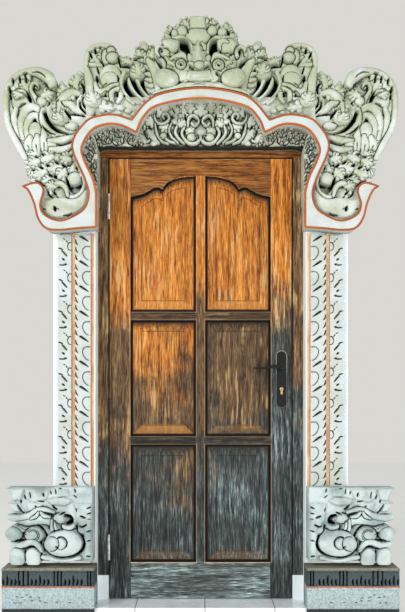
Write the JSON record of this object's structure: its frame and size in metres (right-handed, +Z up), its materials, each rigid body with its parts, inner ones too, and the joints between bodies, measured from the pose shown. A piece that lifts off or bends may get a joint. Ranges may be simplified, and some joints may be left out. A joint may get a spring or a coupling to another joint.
{
  "type": "carved temple door",
  "caption": "Panelled timber door with lever lock, hung in a timber frame inside a carved and painted stone surround with a mask over the arch.",
  "frame": {"origin": "middle of the doorway, on the ground under the threshold, in the plane of the wall face", "axes": "+Z up, -Y out of the wall towards someone at the door, +X to that person's right"},
  "size_m": [1.76, 0.338, 2.657],
  "materials": {
    "timber": "weathered, oiled",
    "painted_stone": "white lime paint over carved stone, weathered",
    "plinth_stone": "bare grey stone",
    "steel": "zinc plated",
    "iron": "black",
    "brass": "dull"
  },
  "bodies": {
    "surround": {"jamb_left": "timber", "jamb_right": "timber", "frame_head": "timber", "strike_plate": "steel", "frame_screws": "steel", "hinge_upper_frame_plate": "steel", "hinge_lower_frame_plate": "steel", "hinge_upper_pin": "steel", "hinge_lower_pin": "steel", "base_block_left": "painted_stone", "base_block_right": "painted_stone", "threshold": "painted_stone", "pilaster_left": "painted_stone", "pilaster_right": "painted_stone", "inner_strip_left": "painted_stone", "inner_strip_right": "painted_stone", "outer_strip_left": "painted_stone", "outer_strip_right": "painted_stone", "foot_mask_left": "painted_stone", "foot_mask_right": "painted_stone", "plinth_left": "plinth_stone", "plinth_right": "plinth_stone", "band_left": "painted_stone", "band_centre": "painted_stone", "band_right": "painted_stone", "tympanum": "painted_stone", "crest_left": "painted_stone", "crest_right": "painted_stone", "crest_mask": "painted_stone"},
    "leaf": {"hinge_stile": "timber", "lock_stile": "timber", "top_rail": "timber", "bottom_rail": "timber", "muntin": "timber", "cross_rail_lower_left": "timber", "cross_rail_lower_right": "timber", "cross_rail_upper_left": "timber", "cross_rail_upper_right": "timber", "panel_lower_left": "timber", "panel_lower_right": "timber", "panel_middle_left": "timber", "panel_middle_right": "timber", "panel_upper_left": "timber", "panel_upper_right": "timber", "hinge_upper_leaf_plate": "steel", "hinge_lower_leaf_plate": "steel", "leaf_screws": "steel", "lock_case": "steel", "lock_faceplate": "steel", "escutcheon_front": "iron", "escutcheon_back": "iron", "plate_screws": "iron", "lock_cylinder": "brass"},
    "lever": {"lever_front": "iron", "lever_back": "iron", "spindle": "iron"},
    "latch": {"latch_bolt": "steel"},
    "plug": {"cylinder_plug": "brass"},
    "bolt": {"dead_bolt": "steel"}
  },
  "joints": [
    {"name": "leaf_hinge", "type": "hinge", "parent": "surround", "child": "leaf", "pos_m": [-0.426, 0.0625, 1], "axis": [0, 0, -1], "range_deg": [0, 95]},
    {"name": "lever_turn", "type": "hinge", "parent": "leaf", "child": "lever", "pos_m": [0.376, 0.09, 1.094], "axis": [0, -1, 0], "range_deg": [0, 35], "stiffness_Nm_per_rad": 1.2, "springref_deg": -34.38},
    {"name": "latch_slide", "type": "slide", "parent": "leaf", "child": "latch", "axis": [-1, 0, 0], "range_m": [0, 0.011]},
    {"name": "key_turn", "type": "hinge", "parent": "leaf", "child": "plug", "pos_m": [0.376, 0.09, 0.996], "axis": [0, 1, 0], "range_deg": [0, 360]},
    {"name": "bolt_slide", "type": "slide", "parent": "leaf", "child": "bolt", "axis": [1, 0, 0], "range_m": [0, 0.02]}
  ],
  "couplings": [
    {"joint": "latch_slide", "follows": "lever_turn", "m_per_rad": 0.018},
    {"joint": "key_turn", "follows": "bolt_slide", "rad_per_m": 314}
  ]
}
